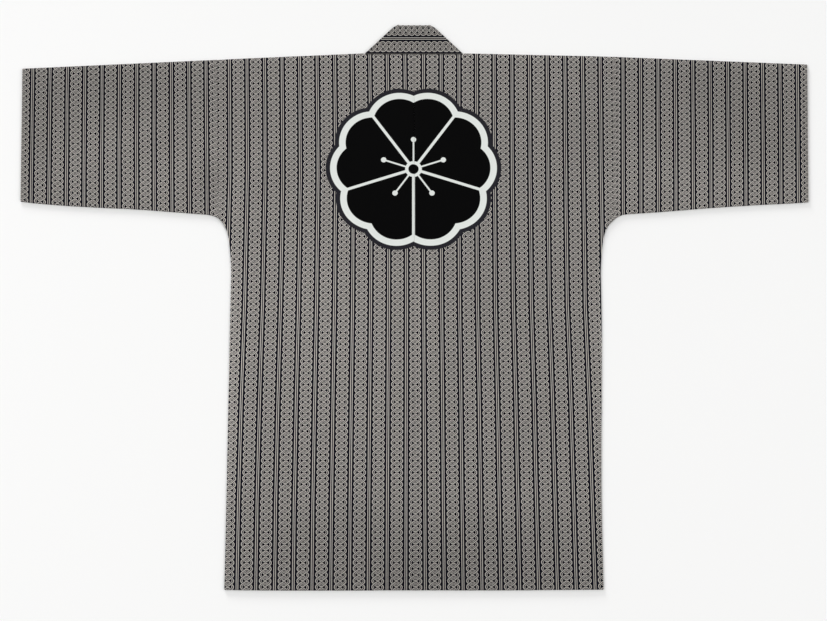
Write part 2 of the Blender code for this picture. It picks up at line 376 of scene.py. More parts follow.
def strokeDistance(tree, point, stroke):
    # least distance to the stroke's straight runs, each repeated up the column by a wrap of y;
    # only runs that reach x < 0 count, for the stroke and for the stroke turned by half a turn
    runs = []
    for sign in (1.0, -1.0):
        turned = [(sign * x, sign * y) for x, y in stroke]
        for (ax, ay), (bx, by) in zip(turned, turned[1:]):
            if min(ax, bx) < 0.0:
                runs.append(((ax + bx) / 2, (ay + by) / 2, (bx - ax) / 2, (by - ay) / 2))
    nearest = None
    tall, free = chain["pitch"] / 2, 9.0  # free is past anything, so x and z don't wrap
    for runX, runY, halfX, halfY in runs:
        off = calcVector(tree, "SUBTRACT", point, (runX, runY, 0.0))
        off = calcVector(tree, "WRAP", off, (free, tall, free), (-free, -tall, -free))
        square = halfX**2 + halfY**2
        along = calcVector(tree, "DOT_PRODUCT", off, (halfX / square, halfY / square, 0.0))
        limits = {"Value": along, "Min": -1.0, "Max": 1.0}
        along = addNode(tree, "ShaderNodeClamp", limits).outputs[0]
        rest = calcVector(tree, "MULTIPLY_ADD", (-halfX, -halfY, 0.0), along, off)
        distance = calcVector(tree, "LENGTH", rest)
        nearest = distance if nearest is None else calc(tree, "MINIMUM", nearest, distance)
    return nearest


def newGroup(name, *outputs):
    # a node group from a place to the distances that are named, with the place it reads
    tree = bpy.data.node_groups.new(name, "ShaderNodeTree")
    tree.interface.new_socket("Place", in_out="INPUT", socket_type="NodeSocketVector")
    for output in outputs:
        tree.interface.new_socket(output, in_out="OUTPUT", socket_type="NodeSocketFloat")
    return tree, tree.nodes.new("NodeGroupInput").outputs[0]


def chainGroup():
    # least of (distance to a stroke - its half width), in repeats: below 0 the cloth is light
    tree, place = newGroup("chainStripe", "Distance")
    x, y, z = split(tree, place)
    x = calc(tree, "WRAP", x, 0.5, -0.5)
    turn = calc(tree, "SIGN", x)
    across = calc(tree, "ABSOLUTE", x)
    foldedX = calc(tree, "MULTIPLY", across, -1.0)
    foldedY = calc(tree, "MULTIPLY", y, calc(tree, "MULTIPLY", turn, -1.0))
    folded = join(tree, foldedX, foldedY)
    outer = calc(tree, "SUBTRACT", strokeDistance(tree, folded, chain["outer"]), chain["outerHalf"])
    inner = calc(tree, "SUBTRACT", strokeDistance(tree, folded, chain["inner"]), chain["innerHalf"])
    stripe = calc(tree, "ABSOLUTE", calc(tree, "SUBTRACT", across, chain["stripeAt"]))
    stripe = calc(tree, "SUBTRACT", stripe, chain["stripeHalf"])
    nearest = calc(tree, "MINIMUM", calc(tree, "MINIMUM", outer, inner), stripe)
    tree.links.new(nearest, tree.nodes.new("NodeGroupOutput").inputs[0])
    return tree


# The large printed flower on the upper back: five notched petals in black, a thin light line
# between them, a light edge and a dark outer line.
flower = {
    "middle": (-0.0015, 0.6600),  # x, h
    "lobeRadius": 0.0415,
    "lobeOut": 0.0755,  # middle of the flower to the middle of a lobe
    "lobeAside": 0.0222,
    "waist": 0.0312,  # half width of the petal's straight part
    "gapHalf": 0.0022,
    "heart": 0.0130,  # radius of the light middle
    "dotShare": 0.62,  # of its radius, for the black dot in it
    "stamenHalf": 0.0013,
    "stamenEnd": 0.046,
    "budOut": 0.049,  # a light dot at the end of each stamen
    "budRadius": 0.0042,
    "lightEdge": 0.0102,
    "darkEdge": 0.0170,
    "black": (0.0004, 0.0004, 0.0005, 1.0),
    "light": (0.71, 0.74, 0.71, 1.0),
    "dark": (0.0170, 0.0165, 0.0210, 1.0),
}

cotton = {
    "ground": (0.0052, 0.0048, 0.0090, 1.0),
    "thread": (0.500, 0.474, 0.440, 1.0),
    "softEdge": 0.006,  # of a repeat
    "ragged": 0.010,
    "frayScale": 62.0,
    "yarn": 0.00056,  # from one yarn to the next
    "slant": -0.70,  # of the yarns' light and dark marks, in radians
    "slubScale": (430.0, 1800.0, 1.0),
    "wearScale": 14.0,
    "weaveTone": 0.07,  # shares of the tone, and what each starts from
    "slubTone": 0.56,
    "slubBase": 0.72,
    "wearTone": 0.10,
    "wearBase": 0.95,
    "printWobble": 0.0004,
    "printSoft": 0.0003,
    "printTone": 0.10,
    "printBase": 0.95,
    "collarShade": 0.84,
    "surface": {
        "Roughness": 0.86,
        "Sheen Weight": 0.02,
        "Sheen Roughness": 0.5,
        "Specular IOR Level": 0.05,
    },
    "weaveLift": 0.35,
    "bump": {"Strength": 0.35, "Distance": 0.00012},
}


def flowerGroup():
    # polar fold into one petal: a petal is two circles side by side, kept inside its fifth part
    tree, place = newGroup("flower", "Petal", "Outline")
    middle = flower["middle"]
    off = calcVector(tree, "SUBTRACT", place, (middle[0], middle[1], 0.0))
    x, y, z = split(tree, off)
    out = calcVector(tree, "LENGTH", off)
    angle = calc(tree, "ARCTAN2", x, y)
    angle = calc(tree, "ABSOLUTE", calc(tree, "WRAP", angle, math.pi / 5, -math.pi / 5))
    aside = calc(tree, "MULTIPLY", out, calc(tree, "SINE", angle))
    ahead = calc(tree, "MULTIPLY", out, calc(tree, "COSINE", angle))
    lobe = join(
        tree,
        calc(tree, "SUBTRACT", aside, flower["lobeAside"]),
        calc(tree, "SUBTRACT", ahead, flower["lobeOut"]),
    )
    lobe = calc(tree, "SUBTRACT", calcVector(tree, "LENGTH", lobe), flower["lobeRadius"])
    # the petal's foot: a slab about its middle line, up to the lobes' middle
    slab = calc(tree, "SUBTRACT", aside, flower["waist"])
    slab = calc(tree, "MAXIMUM", slab, calc(tree, "SUBTRACT", ahead, flower["lobeOut"]))
    petal = calc(tree, "MINIMUM", lobe, slab)
    side = calc(tree, "SINE", calc(tree, "SUBTRACT", math.pi / 5, angle))
    side = calc(tree, "MULTIPLY", out, side)
    cut = calc(tree, "MAXIMUM", petal, calc(tree, "SUBTRACT", flower["gapHalf"], side))
    # a light heart with a black dot, and one stamen line up each petal
    ring = calc(tree, "SUBTRACT", flower["heart"], out)
    cut = calc(tree, "MAXIMUM", cut, ring)
    dot = calc(tree, "SUBTRACT", out, flower["heart"] * flower["dotShare"])
    stamen = calc(tree, "SUBTRACT", flower["stamenHalf"], aside)
    stamen = calc(tree, "MINIMUM", stamen, calc(tree, "SUBTRACT", flower["stamenEnd"], ahead))
    bud = join(tree, aside, calc(tree, "SUBTRACT", ahead, flower["budOut"]))
    bud = calc(tree, "SUBTRACT", flower["budRadius"], calcVector(tree, "LENGTH", bud))
    cut = calc(tree, "MAXIMUM", cut, calc(tree, "MAXIMUM", stamen, bud))
    cut = calc(tree, "MINIMUM", cut, dot)
    end = tree.nodes.new("NodeGroupOutput")
    tree.links.new(cut, end.inputs[0])
    tree.links.new(petal, end.inputs[1])
    return tree


def cottonMaterial(name, chainNodes, flowerNodes=None, shade=1.0):
    # colour = mix(ground, thread) by the distance to the chain's strokes; yarns are crossed cosines
    # in colour and bump
    material, tree, shader = newMaterial(name, cotton["surface"])
    uv = addNode(tree, "ShaderNodeUVMap", uv_map="cloth").outputs[0]
    metres = calcVector(tree, "MULTIPLY", uv, (repeat,) * 3)

    # edges follow the yarns unevenly
    fray = noise(tree, uv, cotton["frayScale"], 1.0, "Color")
    fray = calcVector(tree, "SUBTRACT", fray, (0.5, 0.5, 0.5))
    place = calcVector(tree, "MULTIPLY_ADD", fray, (cotton["ragged"],) * 3, uv)
    group = tree.nodes.new("ShaderNodeGroup")
    group.node_tree = chainNodes
    tree.links.new(place, group.inputs[0])
    light = inside(tree, group.outputs[0], 0.0, cotton["softEdge"])

    # yarns: over and under in turn
    x, y, z = split(tree, metres)
    warp = calc(tree, "COSINE", calc(tree, "MULTIPLY", x, 2 * math.pi / cotton["yarn"]))
    weft = calc(tree, "COSINE", calc(tree, "MULTIPLY", y, 2 * math.pi / cotton["yarn"]))
    weave = calc(tree, "MULTIPLY", warp, weft)
    sockets = {"Vector": metres, "Angle": cotton["slant"]}
    slant = addNode(tree, "ShaderNodeVectorRotate", sockets, rotation_type="Z_AXIS").outputs[0]
    slubPlace = calcVector(tree, "MULTIPLY", slant, cotton["slubScale"])
    slub = noise(tree, slubPlace, 1.0, 2.0)
    wearPlace = calcVector(tree, "MULTIPLY", metres, (cotton["wearScale"],) * 3)
    wear = noise(tree, wearPlace, 1.0, 3.0)

    # tone = yarns and slubs, times the wear, times the painted light and shade with the worn top
    # folds
    tone = calc(tree, "MULTIPLY_ADD", slub, cotton["slubTone"], cotton["slubBase"])
    tone = calc(tree, "MULTIPLY_ADD", weave, cotton["weaveTone"], tone)
    # painted light and shade, with the worn top folds, read from the points
    paintedShadingAndFoldWear = addNode(tree, "ShaderNodeAttribute", attribute_name="foldWearAndPaintedShading").outputs["Fac"]
    worn = calc(tree, "MULTIPLY_ADD", wear, cotton["wearTone"], cotton["wearBase"] * shade)
    tone = calc(tree, "MULTIPLY", calc(tree, "MULTIPLY", tone, worn), paintedShadingAndFoldWear)
    ground = mixColor(tree, 1.0, cotton["ground"], tone, "MULTIPLY")
    stroke = mixColor(tree, 1.0, cotton["thread"], tone, "MULTIPLY")
    color = mixColor(tree, light, ground, stroke)

    if flowerNodes is not None:
        printed = tree.nodes.new("ShaderNodeGroup")
        printed.node_tree = flowerNodes
        printPlace = addNode(tree, "ShaderNodeUVMap", uv_map="print").outputs[0]
        wobble = calcVector(tree, "MULTIPLY_ADD", fray, (cotton["printWobble"],) * 3, printPlace)
        tree.links.new(wobble, printed.inputs[0])
        petal, outline = printed.outputs
        inDark = inside(tree, outline, flower["darkEdge"], cotton["printSoft"])
        inLight = inside(tree, outline, flower["lightEdge"], cotton["printSoft"])
        inBlack = inside(tree, petal, 0.0, cotton["printSoft"])
        fine = calc(tree, "MULTIPLY_ADD", slub, cotton["printTone"], cotton["printBase"])
        edge = mixColor(tree, 1.0, flower["light"], fine, "MULTIPLY")
        color = mixColor(tree, inDark, color, flower["dark"])
        color = mixColor(tree, inLight, color, edge)
        color = mixColor(tree, inBlack, color, flower["black"])

    tree.links.new(color, shader.inputs["Base Color"])
    lift = calc(tree, "MULTIPLY_ADD", weave, cotton["weaveLift"], slub)
    bump = addNode(tree, "ShaderNodeBump", {"Height": lift, **cotton["bump"]}).outputs[0]
    tree.links.new(bump, shader.inputs["Normal"])
    return material


sewing = {
    "hemLine": 0.0185,  # from the hem or cuff edge to its stitches
    "collarLine": 0.0020,  # from the neck seam to its stitches
    "stitch": 0.0028,
    "pitch": 0.0036,
    "radius": 0.00018,
    "sides": 6,
    "ringsAt": (-1.0, -0.75, 0.0, 0.75, 1.0),  # along half a stitch
    "flat": 0.97,  # share of the length at which the spindle's ends are cut
    "color": (0.016, 0.015, 0.026, 1.0),
    "twist": 14000.0,  # radians of the thread's twist to a metre
    "twistTone": 0.15,
    "twistBase": 0.85,
    "surface": {"Roughness": 0.55},
    "bump": {"Strength": 0.3, "Distance": 0.0001},
}


def threadMaterial():
    # navy sewing thread: fine twist as a slanted wave in colour and bump
    material, tree, shader = newMaterial("sewing thread", sewing["surface"])
    place = addNode(tree, "ShaderNodeTexCoord").outputs["Object"]
    x, y, z = split(tree, place)
    twist = calc(tree, "SINE", calc(tree, "MULTIPLY", calc(tree, "ADD", x, y), sewing["twist"]))
    tone = calc(tree, "MULTIPLY_ADD", twist, sewing["twistTone"], sewing["twistBase"])
    color = mixColor(tree, 1.0, sewing["color"], tone, "MULTIPLY")
    tree.links.new(color, shader.inputs["Base Color"])
    bump = addNode(tree, "ShaderNodeBump", {"Height": twist, **sewing["bump"]}).outputs[0]
    tree.links.new(bump, shader.inputs["Normal"])
    return material


chainTree = chainGroup()
flowerTree = flowerGroup()
bodyCotton = cottonMaterial("body cotton", chainTree, flowerTree)
sleeveCotton = cottonMaterial("sleeve cotton", chainTree)
collarCotton = cottonMaterial("collar cotton", chainTree, shade=cotton["collarShade"])
thread = threadMaterial()
print("materials ready")

# Heights of the cloth's middle over the floor. The fronts lie on the floor, the back on the fronts.
layer = {
    "front": coat["cloth"] / 2,
    "back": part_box("sleeve_left")[0].z + 0.0036 - coat["cloth"] / 2,
    "sleeve": 0.0032 - coat["cloth"] / 2,
    "side": 0.0027 - coat["cloth"] / 2,
    "hemSide": 0.0031 - coat["cloth"] / 2,
    "turnIn": coat["cloth"] + 0.0001,  # from a layer to its turned-in hem
    "sideEase": 0.030,
    "seamHalf": coat["cloth"] / 2 + 0.0001,  # least distance from a seam's middle plane
    "seamBend": 0.35,  # angle at which the bend into a side or foot seam ends
    "groove": 0.0004,  # how deep the cloth dips at an armhole seam
    "insideSteps": 4,  # points across a turned-in hem, and round a turn, a fold and a bend
    "turnSteps": 7,
    "foldSteps": 9,
    "bendSteps": 5,
}


def column(*parts):
    # the parts one after another, as rows of one column
    return np.concatenate(parts)[:, None]


def gridLine(values, place):
    # values between the two nearest rows of a grid; place is a row number with its fraction
    row = int(place)
    return values[row] * (row + 1 - place) + values[row + 1] * (place - row)


def makeStitches(name, lines):
    # each line is (points, outward): spindles with r = sqrt(1 - t^2) at an even pitch along it
    ringT = np.array(sewing["ringsAt"])
    ringR = np.sqrt(1.0 - (sewing["flat"] * ringT) ** 2)
    rings, sides = len(ringT), sewing["sides"]
    around = np.arange(sides) * 2 * math.pi / sides
    clouds = []
    for points, outward in lines:
        run = np.concatenate(([0.0], np.cumsum(np.linalg.norm(np.diff(points, axis=0), axis=1))))
        middles = np.arange(sewing["pitch"], run[-1] - sewing["pitch"] / 2, sewing["pitch"])

        def along(values, places):
            return np.stack([np.interp(places, run, values[:, axis]) for axis in range(3)], axis=-1)

        out = along(outward, middles)
        ends = [along(points, middles + side * sewing["stitch"] / 2) for side in (-1, 1)]
        ahead = (ends[1] - ends[0]) / np.linalg.norm(ends[1] - ends[0], axis=1, keepdims=True)
        aside = np.cross(out, ahead)
        middle = (ends[0] + ends[1]) / 2 + out * coat["cloth"] / 2
        sideways = np.cos(around)[:, None] * aside[:, None, None]
        upwards = np.sin(around)[:, None] * out[:, None, None]
        ring = ringT[:, None, None] * ahead[:, None, None] * sewing["stitch"] / 2
        ring = ring + ringR[:, None, None] * sewing["radius"] * (sideways + upwards)
        clouds.append((middle[:, None, None] + ring).reshape(len(middles), -1, 3))
    cloud = np.concatenate(clouds)
    r, c = np.meshgrid(np.arange(rings - 1), np.arange(sides), indexing="ij")
    after = (c + 1) % sides
    start, end = r * sides, (r + 1) * sides
    quads = np.stack((start + c, start + after, end + after, end + c), axis=-1)
    first = (np.arange(len(cloud)) * rings * sides)[:, None]
    every = (quads.reshape(1, -1, 4) + first[:, :, None]).reshape(-1, 4)
    rim = np.arange(sides)
    lids = np.concatenate((first + rim[::-1], first + (rings - 1) * sides + rim))
    mesh = bpy.data.meshes.new(name)
    mesh.from_pydata(cloud.reshape(-1, 3), [], every.tolist() + lids.tolist())
    mesh.shade_smooth()
    mesh.materials.append(thread)
    piece = newObject(name, mesh)
    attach(piece, "root")


def stitchBothSides(name, back, front):
    # one line on the upper side of the back, one on the underside of the front
    outward = np.array((0.0, 0.0, 1.0))
    lines = ((back, outward + 0 * back), (front, -outward + 0 * front))
    makeStitches(name, lines)


body = {
    "hemDepth": 0.0200,
    "seamTake": 0.00045,  # cloth lost in the centre-back seam, on each side
    "seamDip": 0.0006,
    "seamDipWidth": 0.0022,
    "pucker": 0.00016,
    "puckerPitch": 0.0135,
    "rowStep": 0.0068,
    "columnStep": 0.0068,
    "driftInner": 0.03,  # from the centre back to where the drift's inner and outer columns hold
    "driftOuter": 0.25,
    "hemWanderUp": 0.10,  # height at which the hem's wander has died out
    "phase": {"left": 0.6, "right": 2.9},  # where the waves of the slack start
    "hemSideUp": 0.05,  # the sides lie higher up to this height
    "calmHem": 0.03,  # no creases this close to the hem and to the shoulder
    "calmShoulder": 0.05,
    "puckerReach": 0.009,
    "curveRows": 2.2,  # rows stand this much closer on the underarm curve, and close up on it
    "curveEase": 1.6,
    "seamColumns": (0.0010, 0.0022, 0.0040, 0.0070),  # columns beside the centre seam
    "neckColumns": (0.0125, 0.003),  # the first after them, and what is left free at the neck's end
    "armFade": (0.001, -0.010),  # from the underarm, where the bent side turns into the armhole
    "hemTuck": 0.0026,  # the turned-in hem is this much narrower at its side
    "hemTuckPower": 8,
    "allowance": 0.010,  # cloth inside the centre and side seams
}

# The stripes wander a little to the right (+) or left (-) of straight lines, in millimetres.
driftColumns = ("h", "leftOuter", "leftInner", "rightInner", "rightOuter")
driftRows = (
    (0.00, 0.8, 0.5, 2.8, 3.6),
    (0.13, 0.3, 0.7, 1.9, 2.4),
    (0.29, 1.1, 1.1, 1.3, 1.0),
    (0.44, 2.9, 1.4, 0.5, -1.5),
    (0.65, 3.0, 1.0, 0.3, 0.1),
    (0.76, 0.4, -0.6, 0.8, 1.5),
    (0.85, -2.0, -1.9, 1.1, 2.6),
)
drift = dict(zip(driftColumns, np.array(driftRows).T))

# The sleeve bottoms and the hem rise (+) or fall (-) from straight lines, in millimetres, by the
# distance from the centre back.
wanderColumns = ("x", "left", "right")
footRows = (
    (0.305, 0.0, 0.0),
    (0.340, -0.2, 0.3),
    (0.380, 0.2, 0.3),
    (0.420, 0.5, 0.9),
    (0.450, 0.3, 1.4),
    (0.480, -0.7, 1.5),
    (0.530, -1.5, 1.4),
    (0.570, -1.3, 0.7),
    (0.595, -0.8, 0.4),
    (0.613, 0.4, 0.4),
)
hemRows = (
    (0.00, -0.4, -0.4),
    (0.10, -0.5, -0.3),
    (0.15, -0.6, -0.2),
    (0.20, -0.5, 0.3),
    (0.25, -0.1, 0.6),
    (0.28, 0.3, 0.8),
)
footWander = dict(zip(wanderColumns, np.array(footRows).T))
hemWander = dict(zip(wanderColumns, np.array(hemRows).T))


def wander(table, word, x):
    # rise off the straight line in metres, straight between the table's rows
    return np.interp(x, table["x"], table[word]) / 1000.0


def stripeDrift(word, x, h):
    # sideways place of the stripes: between rows by height, then from the inner to the outer column
    inner = np.interp(h, drift["h"], drift[word + "Inner"])
    outer = np.interp(h, drift["h"], drift[word + "Outer"])
    out = (x - body["driftInner"]) / (body["driftOuter"] - body["driftInner"])
    return (inner + (outer - inner) * out) / 1000.0


def backMiddle(word, x, h):
    # height of the upper layer's middle: level inside, eased down to its side, up over creases
    name = "body_" + word
    half = halves[word]
    phase = body["phase"][word]
    rise = smooth(between(h, coat["curveFoot"], half["underarm"]))
    edge = layer["side"] + (layer["sleeve"] - layer["side"]) * rise
    edge = edge + (layer["hemSide"] - layer["side"]) * (1.0 - smooth(h / body["hemSideUp"]))
    inward = smooth((sideHalf(half, h) - x) / layer["sideEase"])
    level = edge + (layer["back"] - edge) * inward
    calm = inward * smooth(h / body["calmHem"])
    calm = calm * smooth((coat["shoulder"] - h) / body["calmShoulder"])
    seamWave = body["pucker"] * np.sin(2 * math.pi * h / body["puckerPitch"] + phase)
    seamWave = seamWave * np.exp(-x / body["puckerReach"])
    dip = body["seamDip"] * np.exp(-((x / body["seamDipWidth"]) ** 2))
    return level + (creaseRise(name, x, h) + slackRise(x, h, phase)) * calm + seamWave * calm - dip


def makeBody(word):
    # one half of the body: turned-in hem, back, shoulder fold, front, turned-in hem
    half = halves[word]
    sign = half["sign"]
    cloth = coat["cloth"]
    hemRadius = layer["turnIn"] / 2
    shoulderRadius = (layer["back"] - layer["front"]) / 2
    neckSeam = coat["shoulder"] - shoulderRadius - cloth / 2
    turn = np.linspace(-math.pi / 2, math.pi / 2, layer["turnSteps"])
    lowest = cloth / 2 + hemRadius
    tucked = np.linspace(body["hemDepth"], lowest, layer["insideSteps"])[:-1]
    step = body["rowStep"]
    below = np.linspace(lowest, coat["curveFoot"], int(coat["curveFoot"] / step))[1:-1]
    curveCount = int((half["underarm"] - coat["curveFoot"]) / step * body["curveRows"])
    closing = 1.0 - np.linspace(1.0, 0.0, curveCount + 1) ** body["curveEase"]
    curve = coat["curveFoot"] + (half["underarm"] - coat["curveFoot"]) * closing
    aboveCount = int((neckSeam - half["underarm"]) / step) + 1
    above = np.linspace(half["underarm"], neckSeam, aboveCount)
    climb = np.concatenate((below, curve[:-1], above))
    rowH = column(tucked, lowest - hemRadius * np.cos(turn), climb)
    rowIn = column(np.ones_like(tucked), (1.0 - np.sin(turn)) / 2, np.zeros_like(climb))
    rowV = column(-tucked, lowest * np.sin(turn), climb)

    # columns: close together at the centre seam, then even to the side, then round the side seam
    q = np.linspace(0.0, 1.0, int((half["hem"] - half["neckHalf"]) / body["columnStep"]) + 1)
    nearSeam = (coat["gap"], *body["seamColumns"])
    firstEven, freeEnd = body["neckColumns"]
    evenColumns = np.arange(firstEven, half["neckHalf"] - freeEnd, body["columnStep"])
    neckX = np.concatenate((nearSeam, evenColumns))
    bend = np.linspace(math.pi / 2, layer["seamBend"], layer["bendSteps"])[1:]
    fadeTop, fadeFoot = (half["underarm"] + off for off in body["armFade"])
    belowArm = smooth(between(rowH, fadeTop, fadeFoot))
    climbShare = between(rowH, half["underarm"], neckSeam)
    side = sideHalf(half, rowH - (coat["shoulder"] - half["shoulderEnd"]) * climbShare)

    def layerGrid(edgeX, upper):
        # x, h and z of one layer; edgeX is where its even columns start
        middle = (backMiddle(word, side, rowH) + layer["front"]) / 2
        radius = middle - layer["front"]
        inner = side - cloth / 2 - radius
        main = edgeX + (inner - edgeX) * q
        neck = np.broadcast_to(neckX, (len(rowH), len(neckX)))
        arcX = inner + radius * np.cos(bend)
        flatShare = np.linspace(0.0, 1.0, layer["bendSteps"])[1:]
        flatX = inner + (side - coat["gap"] - inner) * flatShare
        x = np.concatenate((neck, main, arcX * belowArm + flatX * (1.0 - belowArm)), axis=1)
        x = x - body["hemTuck"] * rowIn * (x / side) ** body["hemTuckPower"]
        out = between(x, half["neckHalf"], half["shoulderHalf"])
        fall = (coat["shoulder"] - half["shoulderEnd"]) * out
        h = rowH - fall * climbShare
        z = backMiddle(word, x, h) if upper else np.full_like(x, layer["front"])
        arcs = slice(-len(bend), None)
        rise = np.maximum(radius * np.sin(bend), layer["seamHalf"])
        rounded = middle + (rise if upper else -rise)
        groove = layer["groove"] * (1.0 - np.sin(bend))
        flat = z[:, arcs] - (groove if upper else -groove)
        mixed = rounded * belowArm + flat * (1.0 - belowArm)
        z[:, arcs] = mixed * (1.0 - rowIn) + z[:, arcs] * rowIn
        return x, h, z - layer["turnIn"] * rowIn * (1.0 if upper else -1.0)

    backX, backH, backZ = layerGrid(half["neckHalf"], True)
    frontEdge = frontHalf(half, rowH, neckSeam)
    frontX, frontH, frontZ = (grid[::-1] for grid in layerGrid(frontEdge, False))

    # shoulder fold: half a turn from the back's last row to the front's first
    fold = np.linspace(0.0, math.pi, layer["foldSteps"])[1:-1, None]
    radius = (backZ[-1] - frontZ[0]) / 2
    foldX = backX[-1] + (frontX[0] - backX[-1]) * (fold / math.pi)
    foldH = backH[-1] + radius * np.sin(fold)
    foldZ = frontZ[0] + radius + radius * np.cos(fold)

    x = np.concatenate((backX, foldX, frontX))
    h = np.concatenate((backH, foldH, frontH))
    z = np.concatenate((backZ, foldZ, frontZ))
    backV = np.where(rowIn > 0, rowV, backH)
    around = math.pi * shoulderRadius
    frontV = 2 * neckSeam + around - backV[::-1]
    v = np.concatenate((backV, backH[-1] + radius * fold, frontV))
    u = sign * (x + body["seamTake"]) - stripeDrift(word, x, h)
    maps = {
        "cloth": np.stack((u, v), axis=-1) / repeat,
        "print": np.stack((sign * x, v), axis=-1),
    }
    used = np.ones((len(x) - 1, x.shape[1] - 1), dtype=bool)
    used[len(rowH) - 1 :, : len(neckX)] = False
    hemRise = wander(hemWander, word, x) * (1.0 - smooth(h / body["hemWanderUp"]))
    points = placed(sign * x, h + hemRise, z)
    name = "body_" + word
    piece = sheetObject(name + "_cloth", points, maps, bodyCotton, used)
    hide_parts(name)
    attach(piece, "root")
    lastTurn = len(tucked) + len(turn) - 1
    hemRow = np.interp(sewing["hemLine"], rowH[lastTurn:, 0], np.arange(lastTurn, len(rowH)))
    front = gridLine(points[::-1], hemRow)[len(neckX) :]
    stitchBothSides(name + "_hem_stitches", gridLine(points, hemRow), front)


for word in halves:
    makeBody(word)
print("body halves ready")

sleeve = {
    "length": 0.3075,
    "hemDepth": 0.0200,
    "step": 0.0068,
    "seamRows": (0.0, 0.0010, 0.0025, 0.0050),  # rows beside the armhole seam
    "firstRow": 0.0080,
    "across": 38,  # columns of one layer
    "phase": {"left": 1.1, "right": 4.0},
    "start": {"left": 0.37, "right": 0.0},  # of the chain along its columns, in repeats
    "calmSide": 6,  # creases grow in this share of the depth
    "calmArm": 0.05,
    "calmCuff": 0.03,
    "grooveWidth": 0.0016,
    "armAllowance": 0.006,
    "footAllowance": 0.008,
}


def makeSleeve(word):
    # a flat tube slit at its foot seam: rows run to the cuff and back in, columns round the tube
    name = "sleeve_" + word
    half = halves[word]
    sign = half["sign"]
    phase = sleeve["phase"][word]
    cloth = coat["cloth"]
    hemRadius = layer["turnIn"] / 2
    length = sleeve["length"]
    last = length - cloth / 2 - hemRadius
    turn = np.linspace(-math.pi / 2, math.pi / 2, layer["turnSteps"])
    even = np.linspace(sleeve["firstRow"], last, int(last / sleeve["step"]))
    run = np.concatenate((sleeve["seamRows"], even))[:-1]
    back = np.linspace(last, length - sleeve["hemDepth"], layer["insideSteps"])[1:]
    s = column(run, last + hemRadius * np.cos(turn), back)
    rowIn = column(np.zeros_like(run), (1.0 + np.sin(turn)) / 2, np.ones_like(back))
    rowU = column(run, last + (length - last) * (1.0 + np.sin(turn)), 2 * length - back)

    t = s / length
    armTop = np.array((half["shoulderHalf"] + coat["gap"], half["shoulderEnd"]))
    armFoot = np.array((half["underarmHalf"] + coat["gap"], coat["sleeveAim"]))
    head = armTop * (1 - t) + np.array((half["cuffTopHalf"], half["cuffTop"])) * t
    foot = armFoot * (1 - t) + np.array((half["cuffFootHalf"], half["cuffFoot"])) * t
    dip = (1.0 - between(s, 0.0, coat["dipReach"])) ** 2
    foot[:, 1:] -= (coat["sleeveAim"] - half["underarm"]) * dip
    foot[:, 1:] += wander(footWander, word, foot[:, :1])
    depth = np.linalg.norm(head - foot, axis=1, keepdims=True)
    up = (head - foot) / depth

    middle = (layer["sleeve"] + layer["front"]) / 2
    radius = (layer["sleeve"] - layer["front"]) / 2 - layer["turnIn"] * rowIn
    inset = radius + cloth / 2 + layer["turnIn"] * rowIn
    seamBend = np.linspace(layer["seamBend"], math.pi / 2, layer["bendSteps"])[:-1]
    foldBend = np.linspace(0.0, math.pi, layer["foldSteps"])[1:-1]
    across = np.linspace(0.0, 1.0, sleeve["across"])
    flat = inset + (depth - 2 * inset) * across
    rise = np.maximum(radius * np.sin(seamBend), layer["seamHalf"])
    footUp = inset - radius * np.cos(seamBend)
    foldUp = depth - inset + radius * np.sin(foldBend)
    foldZ = radius * np.cos(foldBend)
    level = radius + 0 * flat
    # one section: up the back layer from the foot seam, over the fold, down the front layer
    sectionUp = np.concatenate((footUp, flat, foldUp, flat[:, ::-1], footUp[:, ::-1]), axis=1)
    sectionZ = middle + np.concatenate((rise, level, foldZ, -level, -rise[:, ::-1]), axis=1)

    x = foot[:, :1] + up[:, :1] * sectionUp
    h = foot[:, 1:] + up[:, 1:] * sectionUp
    upper = slice(len(seamBend), len(seamBend) + len(across))
    calm = smooth(sleeve["calmSide"] * across) * smooth(sleeve["calmSide"] * (1 - across))
    calm = calm * smooth(s / sleeve["calmArm"]) * smooth((length - s) / sleeve["calmCuff"])
    soft = creaseRise(name, x[:, upper], h[:, upper]) + slackRise(x[:, upper], h[:, upper], phase)
    sectionZ[:, upper] += soft * calm
    groove = layer["groove"] * np.exp(-((s / sleeve["grooveWidth"]) ** 2))
    sectionZ[:, upper] -= groove * (1.0 - rowIn)

    steps = np.hypot(np.diff(sectionUp), np.diff(sectionZ))
    v = np.concatenate((np.zeros((len(s), 1)), np.cumsum(steps, axis=1)), axis=1)
    u = sign * (rowU - half["firstColumn"]) / half["sleeveRepeat"] + 0 * v
    points = placed(sign * x, h, sectionZ)
    maps = {"cloth": np.stack((u, v / repeat + sleeve["start"][word]), axis=-1)}
    piece = sheetObject(name + "_cloth", points, maps, sleeveCotton)
    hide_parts(name)
    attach(piece, "root")
    cuffRow = np.interp(length - sewing["hemLine"], run, np.arange(len(run)))
    around = gridLine(points, cuffRow)
    stitchBothSides(name + "_cuff_stitches", around[upper], around[::-1][upper])


for word in halves:
    makeSleeve(word)
print("sleeves ready")

collar = {
    "width": 0.0490,
    "cad": 0.0020,  # thickness of the doubled band
    "corner": 0.0044,
    "cornerStart": 0.82,
    "gap": 0.0003,
    "lean": 0.6,
    "approach": 6.0,
    "underGap": 0.0004,
    "seamPinch": 0.0002,  # the seam edges are drawn together by this, over this reach
    "pinchReach": 0.0012,
    "foldReach": 0.0018,  # top of the shoulder fold to the neck seam
    "firstColumn": 0.0121,  # seam to the middle of the first chain column
    "laneSteps": 14,  # points across the band, up the front, round the fold and along the neck
    "frontSteps": 131,
    "foldSteps": 13,
    "neckSteps": 13,
}


